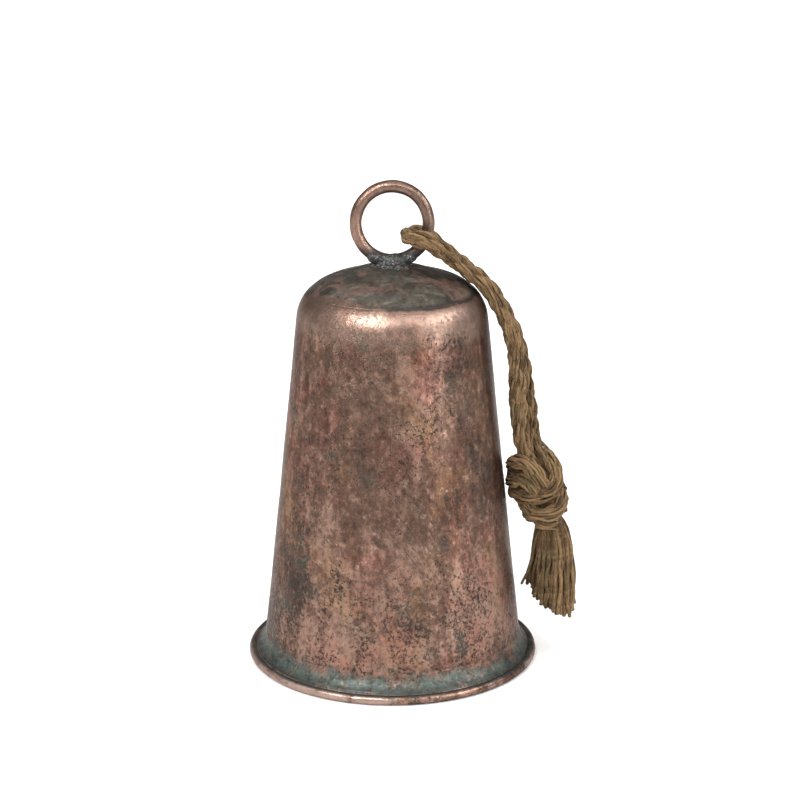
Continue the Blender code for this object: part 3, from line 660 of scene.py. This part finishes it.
# ---- Ways of making rope -------------------------------------
class Yarns:
    """Collects tubes of yarn into one mesh, with lengthwise UVs and a tone for each yarn."""

    def __init__(self, seed):
        self.points = []
        self.faces = []
        self.tones = []
        self.places = []
        self.random = random.Random(seed)

    def tube(self, line, radii, sides, tone, fuzz=0.10):
        """Add a closed tube along a line of points."""
        first = len(self.points)
        rings = []
        wander = self.random.random() * 40.0
        for point, (across, up), run, radius in zip(
                line, frames(line), runs_along(line), radii):
            for side in range(sides):
                angle = 2 * math.pi * side / sides
                spot = Vector((math.cos(angle) * 1.3, math.sin(angle) * 1.3, run * 420.0 + wander))
                size = radius * (1.0 + fuzz * noise.noise(spot))
                self.points.append(point + size * (math.cos(angle) * across + math.sin(angle) * up))
                self.tones.append(tone)
            rings.append(run / 0.01)
        for ring in range(len(line) - 1):
            low = first + ring * sides
            for side in range(sides):
                after = (side + 1) % sides
                self.faces.append((low + side, low + after, low + sides + after, low + sides + side))
                near, far = side / sides, (side + 1) / sides
                self.places.append(((near, rings[ring]), (far, rings[ring]),
                                    (far, rings[ring + 1]), (near, rings[ring + 1])))
        for ring, way in ((0, -1), (len(line) - 1, 1)):
            start = first + ring * sides
            loop = [start + side for side in range(sides)][::way]
            self.faces.append(tuple(loop))
            self.places.append(tuple((side / sides, rings[ring]) for side in range(sides)))

    def mesh(self, name):
        """Make the collected tubes one smooth object."""
        mesh = bpy.data.meshes.new(name)
        mesh.from_pydata(self.points, [], self.faces)
        layer = mesh.uv_layers.new(name="along")
        flat = [value for face in self.places for pair in face for value in pair]
        layer.data.foreach_set("uv", flat)
        tones = mesh.attributes.new("tone", 'FLOAT', 'POINT')
        tones.data.foreach_set("value", self.tones)
        mesh.shade_smooth()
        mesh.validate()
        piece = bpy.data.objects.new(name, mesh)
        bpy.context.scene.collection.objects.link(piece)
        return piece


def frames(line):
    """Two directions across the line at each point, carried along without twist."""
    count = len(line)
    ways = []
    for i in range(count):
        ways.append((line[min(i + 1, count - 1)] - line[max(i - 1, 0)]).normalized())
    across = ways[0].orthogonal().normalized()
    pairs = []
    for i, way in enumerate(ways):
        if i:
            across = ways[i - 1].rotation_difference(way) @ across
        across = (across - way * across.dot(way)).normalized()
        pairs.append((across, way.cross(across)))
    return pairs


def spots(line):
    """The places alone of a line's points."""
    return [Vector(point[:3]) for point in line]


def runs_along(line):
    """Distance along a line of places up to each of them."""
    runs = [0.0]
    for before, after in zip(line, line[1:]):
        runs.append(runs[-1] + (after - before).length)
    return runs


def even_line(line, step):
    """Points (and their other values) at even steps along a line."""
    runs = runs_along(spots(line))
    count = max(2, round(runs[-1] / step))
    result = []
    at = 0
    for i in range(count + 1):
        want = runs[-1] * i / count
        while at < len(runs) - 2 and runs[at + 1] < want:
            at += 1
        share = (want - runs[at]) / max(runs[at + 1] - runs[at], 1e-9)
        result.append([a + (b - a) * share for a, b in zip(line[at], line[at + 1])])
    return result


def lay_rope(yarns, line, rope, radius, count, turn=0.0):
    """Lay three strands of several yarns each round a line of (x, y, z, size)."""
    strand = radius / (1 + 2 / math.sqrt(3))
    middles = spots(line)
    pairs = frames(middles)
    runs = runs_along(middles)
    for number in range(3):
        for part in range(count):
            wander = yarns.random.random() * 60.0
            depth = 0.90 + 0.20 * yarns.random.random()
            path = []
            radii = []
            for point, (across, up), run, values in zip(middles, pairs, runs, line):
                size = values[3]
                drift = noise.noise(Vector((run * 110.0, wander, 0.0)))
                sway = noise.noise(Vector((run * 75.0, wander, 7.0)))
                lay = turn + 2 * math.pi * (number / 3 - run / rope.lay) + 0.10 * sway
                own = (2 * math.pi * (part / count + run / rope.yarn_lay) + number + 0.55 * sway)
                out = (radius - strand) * size * 0.58
                off = strand * size * (depth + 0.10 * drift)
                path.append(point + across * (out * math.cos(lay) + off * math.cos(own))
                            + up * (out * math.sin(lay) + off * math.sin(own)))
                radii.append(strand * size * (0.32 + 0.05 * sway))
            yarns.tube(path, radii, 6, yarns.random.random(), 0.26)


def between(table, value, column):
    """Read a column of a table by its first column, straight between the rows."""
    rows = sorted(table)
    if value <= rows[0][0]:
        return rows[0][column]
    for low, high in zip(rows, rows[1:]):
        if value <= high[0]:
            share = (value - low[0]) / (high[0] - low[0])
            return low[column] + (high[column] - low[column]) * share
    return rows[-1][column]


# ---- Pieces --------------------------------------------------
class DINNERBELL_OT_stage(bpy.types.Operator):
    """Camera, lights, surroundings and floor"""

    bl_idname = "dinner_bell.stage"
    bl_label = "Stage"

    def execute(self, context):
        scene = context.scene
        lens = bpy.data.cameras.new("front_camera")
        lens.lens = CAMERA_LENS
        lens.sensor_width = 36.0
        turns = [math.radians(turn) for turn in CAMERA_TURN]
        scene.camera = self.stand(scene, lens, CAMERA_PLACE, turns)
        scene.view_settings.view_transform = 'Standard'

        world = bpy.data.worlds.new("studio")
        world.use_nodes = True
        scene.world = world
        nodes, links = world.node_tree.nodes, world.node_tree.links
        surround = nodes["Background"]
        surround.inputs["Color"].default_value = (1.0, 1.0, 1.0, 1.0)
        rays = nodes.new("ShaderNodeLightPath")
        dim = nodes.new("ShaderNodeMapRange")
        dim.inputs["To Min"].default_value = SURROUND_LIGHT
        dim.inputs["To Max"].default_value = SURROUND_SHINE
        links.new(rays.outputs["Is Glossy Ray"], dim.inputs["Value"])
        links.new(dim.outputs["Result"], surround.inputs["Strength"])

        for name, place, aim, size, power, soft in LAMPS:
            light = bpy.data.lights.new(name, 'AREA')
            light.shape = 'RECTANGLE'
            light.size, light.size_y = size
            light.energy = power
            way = Vector(aim) - Vector(place)
            lamp = self.stand(scene, light, place, way.to_track_quat('-Z', 'Y').to_euler())
            lamp.visible_diffuse = soft

        nothing_selected()
        bpy.ops.mesh.primitive_plane_add(size=14.0, location=(0.0, 2.0, 0.0))
        floor = name_new("floor")
        bpy.ops.object.mode_set(mode='EDIT')
        bpy.ops.mesh.subdivide(number_cuts=8)
        bpy.ops.object.mode_set(mode='OBJECT')
        floor.data.materials.append(pale_floor("pale_floor"))
        return {'FINISHED'}

    def stand(self, scene, data, place, turns):
        """Put a camera or a lamp in the scene."""
        item = bpy.data.objects.new(data.name, data)
        item.location = place
        item.rotation_euler = turns
        scene.collection.objects.link(item)
        return item


class DINNERBELL_OT_wall(bpy.types.Operator):
    """Tapered wall with its round shoulder"""

    bl_idname = "dinner_bell.wall"
    bl_label = "Wall"

    def execute(self, context):
        sizes, colours = settings(context)
        bend = arc(SHOULDER_MIDDLE, SHOULDER_BEND, WALL_ANGLE, SEAM_ANGLE + 0.015, 12)
        foot = arc(HOLLOW_MIDDLE, HOLLOW_BEND, math.pi + WALL_ANGLE, math.pi, 2)[0]
        foot = (foot[0] + WALL_LAP * math.tan(WALL_ANGLE), foot[1] - WALL_LAP)
        top = bend[0]
        steps = 38
        profile = [(foot[0] + (top[0] - foot[0]) * i / steps, foot[1] + (top[1] - foot[1]) * i / steps)
                   for i in range(steps)]
        wall = turned("bell_wall_skin", profile + bend, sizes.facets)
        skin = aged_copper("copper_skin", colours, crown=True, hollow=True)
        sheet_piece(wall, sizes, skin, dull_lining("wall_lining", colours))
        wear(wall, skin, "bell", "copper_skin", "bell_wall")
        return {'FINISHED'}


class DINNERBELL_OT_rim(bpy.types.Operator):
    """Flared rim with its rolled bead"""

    bl_idname = "dinner_bell.rim"
    bl_label = "Rim"

    def execute(self, context):
        sizes, colours = settings(context)
        profile = arc(BEAD_MIDDLE, BEAD_SIZE, -BEAD_TURN, BEAD_TURN, 30)
        profile += arc(HOLLOW_MIDDLE, HOLLOW_BEND, HOLLOW_END, math.pi + WALL_ANGLE, 14)
        rim = turned("rim_skin", profile, sizes.facets)
        skin = aged_copper("copper_rim", colours, hollow=True)
        sheet_piece(rim, sizes, skin, dull_lining("rim_lining", colours))
        wear(rim, skin, "bell", "copper_rim", "rim_flange")
        recoat("rim_wire", blackened_iron("rim_wire_iron", colours))
        return {'FINISHED'}


class DINNERBELL_OT_crown(bpy.types.Operator):
    """Low domed crown"""

    bl_idname = "dinner_bell.crown"
    bl_label = "Crown"

    def execute(self, context):
        sizes, colours = settings(context)
        outline = [(share * CROWN_EDGE[0], CROWN_EDGE[1] + rise) for share, rise in CROWN_OUTLINE]
        dome = smooth_through(outline, 5)[::-1]
        dome[-1] = (CLOSED_RADIUS / 2, dome[-1][1])
        lap = arc(SHOULDER_MIDDLE, SHOULDER_BEND - sizes.sheet - 0.0002,
                  SEAM_ANGLE - math.radians(12.0), SEAM_ANGLE, 4)
        crown = turned("crown_skin", lap + [tuple(point) for point in dome], sizes.facets)
        skin = aged_copper("crown_patina", colours, crown=True)
        sheet_piece(crown, sizes, skin, dull_lining("crown_lining", colours))
        wear(crown, skin, "bell", "crown_patina", "crown_cap")
        return {'FINISHED'}


class DINNERBELL_OT_ring(bpy.types.Operator):
    """Hanging ring of round rod"""

    bl_idname = "dinner_bell.ring"
    bl_label = "Hanging ring"

    def execute(self, context):
        sizes, colours = settings(context)
        nothing_selected()
        bpy.ops.mesh.primitive_torus_add(
            major_radius=sizes.ring_radius, minor_radius=sizes.ring_rod,
            major_segments=160, minor_segments=32,
            location=(0.0, 0.0, RING_MIDDLE_Z), rotation=(math.pi / 2, 0.0, 0.0))
        ring = name_new("ring_rod")
        bpy.ops.object.mode_set(mode='EDIT')
        bpy.ops.mesh.select_all(action='SELECT')
        bpy.ops.transform.resize(value=(1.0, 1.0, RING_STRETCH),
                                 center_override=(0.0, 0.0, RING_FOOT_Z))
        bpy.ops.object.mode_set(mode='OBJECT')
        apply_modifier(ring, 'DISPLACE', strength=0.00035, mid_level=CLOUD_MIDDLE,
                       texture=unevenness("ring_marks", 'CLOUDS', 0.006))
        ring.data.shade_smooth()
        wear(ring, aged_copper("ring_copper", colours, rod=True), "bell", "ring_copper",
             "hanging_ring")
        return {'FINISHED'}


class DINNERBELL_OT_braze(bpy.types.Operator):
    """Lumpy braze round the ring's foot"""

    bl_idname = "dinner_bell.braze"
    bl_label = "Braze"

    def execute(self, context):
        sizes, colours = settings(context)
        pieces = []
        for *place, bulk in self.drops(sizes.ring_radius + 0.0005):
            nothing_selected()
            bpy.ops.mesh.primitive_ico_sphere_add(subdivisions=3, radius=bulk, location=place)
            pieces.append(name_new("drop"))
        nothing_selected()
        for piece in pieces:
            piece.select_set(True)
        bpy.context.view_layer.objects.active = pieces[0]
        bpy.ops.object.join()
        braze = name_new("ring_braze")
        apply_modifier(braze, 'REMESH', mode='VOXEL', voxel_size=0.00035)
        apply_modifier(braze, 'SMOOTH', factor=0.5, iterations=14)
        apply_modifier(braze, 'DISPLACE', strength=0.0009, mid_level=CLOUD_MIDDLE,
                       texture=unevenness("spatter", 'CLOUDS', 0.0011))
        braze.data.shade_smooth()
        wear(braze, rough_braze("braze", colours), "bell", "braze",
             "ring_braze_front", "ring_braze_back")
        return {'FINISHED'}

    def drops(self, reach):
        """(x, y, z, radius) of drops along both sides of the ring's foot and round it."""
        dice = random.Random(11)
        drops = []
        for i in range(15):
            angle = math.radians(-90.0 - BRAZE_SPAN + 2 * BRAZE_SPAN * i / 14)
            bulk = 0.0030 - 0.0007 * abs(i - 7) / 7
            for side in (-1, 1):
                drops.append((reach * math.cos(angle) + dice.uniform(-0.0003, 0.0003), side * 0.0010,
                              RING_MIDDLE_Z + reach * math.sin(angle) + dice.uniform(-0.0003, 0.0003),
                              bulk * dice.uniform(0.86, 1.06)))
        for i in range(26):
            angle = 2 * math.pi * i / 26
            spread = dice.uniform(0.55, 1.0)
            x = PUDDLE_WIDTH * spread * math.cos(angle)
            y = PUDDLE_DEPTH * spread * math.sin(angle)
            drops.append((x, y, PUDDLE_TOP - PUDDLE_SLOPE * (x * x + y * y),
                          dice.uniform(0.0013, 0.0024)))
        return drops


class DINNERBELL_OT_clapper(bpy.types.Operator):
    """Iron staple, link, rod and ball"""

    bl_idname = "dinner_bell.clapper"
    bl_label = "Clapper"

    def execute(self, context):
        colours = context.scene.dinner_bell_colours
        iron = blackened_iron("clapper_iron", colours)
        braze = rough_braze("foot_braze", colours)
        for name in ("clapper_staple", "clapper_link", "clapper_rod", "clapper_ball"):
            recoat(name, iron)
        for name in ("staple_braze_front", "staple_braze_back"):
            recoat(name, braze)
        return {'FINISHED'}


class DINNERBELL_OT_rope(bpy.types.Operator):
    """Doubled jute rope, its knot, tassel and loose fibres"""

    bl_idname = "dinner_bell.rope"
    bl_label = "Rope"

    def execute(self, context):
        rope = context.scene.dinner_bell_rope
        colours = context.scene.dinner_bell_colours
        jute = jute_fibre("jute_rope", colours)
        front = [(x - lead, -y, z + lift, size) for x, z, y, lead, lift, size in ROPE_ROUTE]
        back = [(x + lead, y, z - lift, size) for x, z, y, lead, lift, size in ROPE_ROUTE]
        route = front[::-1] + back[1:]
        line = even_line(smooth_through(route, 8), 0.0009)
        yarns = Yarns(5)
        lay_rope(yarns, line, rope, rope.radius, rope.strand_yarns)
        loop = yarns.mesh("rope_strands")
        wear(loop, jute, "rope", "jute_rope", "rope_loop")

        fibres = Yarns(21)
        self.hairs(fibres, spots(line), rope.radius, rope.fibres // 2)
        yarns = Yarns(8)
        for number, turn in enumerate(KNOT_TURNS):
            points = [(*point, 1.0) for point in turn]
            line_here = even_line(smooth_through(points, 8), 0.0011)
            lay_rope(yarns, line_here, rope, rope.knot_radius, rope.knot_yarns, number * 0.9)
            self.hairs(fibres, spots(line_here), rope.knot_radius, rope.fibres // 24)
        for core in KNOT_CORES:
            yarns.tube([Vector((x, 0.0, z)) for x, z, size in core],
                       [size for x, z, size in core], 20, 0.0)
        knot = yarns.mesh("rope_knot_turns")
        wear(knot, jute, "rope", "jute_rope", "rope_knot")

        yarns = Yarns(13)
        self.tassel(yarns, rope)
        tassel = yarns.mesh("rope_tassel_yarns")
        wear(tassel, jute, "rope", "jute_rope", "rope_tassel")

        loose = fibres.mesh("rope_fibres")
        wear(loose, jute, "rope", "jute_rope")

        return {'FINISHED'}

    def hairs(self, yarns, middles, radius, count):
        """Short fibres that lift off the rope along its length."""
        dice = yarns.random
        pairs = frames(middles)
        for number in range(count):
            at = dice.randrange(len(middles) - 1)
            across, up = pairs[at]
            angle = dice.uniform(0.0, 2 * math.pi)
            out = across * math.cos(angle) + up * math.sin(angle)
            side = up * math.cos(angle) - across * math.sin(angle)
            way = (middles[at + 1] - middles[at]).normalized() * dice.choice((-1, 1))
            reach = dice.uniform(0.0016, 0.0042)
            lift = dice.uniform(0.05, 0.42)
            lean = dice.uniform(-0.6, 0.6)
            root = middles[at] + out * radius * 0.86
            line = [root + way * reach * t + side * reach * lean * t * t
                    + out * (reach * lift * t * (1.2 - 0.3 * t) + 0.0003 * t)
                    for t in (0.0, 0.33, 0.66, 1.0)]
            size = dice.uniform(0.00004, 0.00008)
            yarns.tube(line, (size, size, size * 0.8, size * 0.4), 3, dice.random(), 0.0)

    def tassel(self, yarns, rope):
        """Loosened yarns that spread from the knot down to a ragged end."""
        dice = yarns.random
        count = rope.tassel_count
        levels = 9
        top = TASSEL_SHAPE[0][0]
        inset = rope.tassel_yarn * 0.9
        for number in range(count):
            share = math.sqrt((number + 0.5) / count)
            angle = number * GOLDEN_ANGLE
            sway = dice.uniform(-0.12, 0.12)
            side = math.cos(angle + sway) * share
            deep = math.sin(angle + sway) * share
            middle, wide, thick = self.envelope(0.022)
            foot = between(TASSEL_ENDS, middle + side * wide * 0.93, 1)
            foot += dice.uniform(-0.0006, 0.0020)
            foot += 0.0010 * max(0.0, deep)
            points = []
            wave = dice.random() * 50.0
            for level in range(levels):
                z = top + (foot - top) * level / (levels - 1)
                middle, wide, thick = self.envelope(z)
                slack = 0.0022 * math.sqrt(level / levels)
                x = (middle + side * (wide - inset)
                     + slack * noise.noise(Vector((wave, z * 130.0, 0.0))))
                y = (deep * (thick - inset) + slack * noise.noise(Vector((wave, z * 130.0, 9.0))))
                points.append((x, y, z, 1.0 + 0.10 * level / levels))
            # Yarns on the tassel's left, beside the bell, get a darker tone: painted shade.
            shade = dice.random() * (0.62 + 0.38 * side) + 0.10 * side
            self.loose_yarn(yarns, points, rope.tassel_yarn, shade)
        stray = [(*point, 0.85) for point in STRAY_YARN]
        self.loose_yarn(yarns, stray, rope.tassel_yarn, 0.1)
        core = [Vector((self.envelope(z)[0], 0.0, z)) for z in (0.062, 0.055, 0.045, 0.034)]
        yarns.tube(core, (0.0040, 0.0060, 0.0066, 0.0050), 16, 0.0)

    def envelope(self, z):
        """The tassel's middle x, half width and half thickness at a height."""
        return [between(TASSEL_SHAPE, z, column) for column in (1, 2, 3)]

    def loose_yarn(self, yarns, points, radius, shade):
        """One yarn with a rounded, slightly swollen end."""
        line = even_line(smooth_through(points, 6), 0.0011)
        middles = spots(line)
        radii = [radius * point[3] for point in line]
        tip = middles[-1]
        way = (tip - middles[-2]).normalized()
        for share, reach in ((0.82, 0.35), (0.45, 0.6)):
            middles.append(tip + way * radius * reach)
            radii.append(radii[-1] * share)
        yarns.tube(middles, radii, 8, shade, 0.20)


class DINNERBELL_PT_panel(bpy.types.Panel):
    """Lists the bell's settings and the operators that build it"""

    bl_label = "Dinner Bell"
    bl_idname = "DINNERBELL_PT_panel"
    bl_space_type = 'VIEW_3D'
    bl_region_type = 'UI'
    bl_category = "Dinner Bell"

    def draw(self, context):
        scene = context.scene
        for group in (scene.dinner_bell_sizes, scene.dinner_bell_rope,
                      scene.dinner_bell_colours):
            box = self.layout.box()
            for name in group.__annotations__:
                box.prop(group, name)
        for operator in OPERATORS:
            self.layout.operator(operator.bl_idname)


# ---- Registration --------------------------------------------
OPERATORS = (
    DINNERBELL_OT_stage,
    DINNERBELL_OT_rope,
    DINNERBELL_OT_wall,
    DINNERBELL_OT_rim,
    DINNERBELL_OT_crown,
    DINNERBELL_OT_ring,
    DINNERBELL_OT_braze,
    DINNERBELL_OT_clapper,
)
CLASSES = (DinnerBellSizes, DinnerBellRope, DinnerBellColours, *OPERATORS,
           DINNERBELL_PT_panel)


def register():
    """Register the classes and their settings."""
    for kind in CLASSES:
        bpy.utils.register_class(kind)
    bpy.types.Scene.dinner_bell_sizes = PointerProperty(type=DinnerBellSizes)
    bpy.types.Scene.dinner_bell_rope = PointerProperty(type=DinnerBellRope)
    bpy.types.Scene.dinner_bell_colours = PointerProperty(type=DinnerBellColours)


def unregister():
    """Take the settings and the classes away again."""
    del bpy.types.Scene.dinner_bell_colours
    del bpy.types.Scene.dinner_bell_rope
    del bpy.types.Scene.dinner_bell_sizes
    for kind in reversed(CLASSES):
        bpy.utils.unregister_class(kind)


def main():
    """Build the stage and every piece."""
    register()
    for operator in OPERATORS:
        group, name = operator.bl_idname.split(".")
        getattr(getattr(bpy.ops, group), name)()


if __name__ == "__main__":
    main()
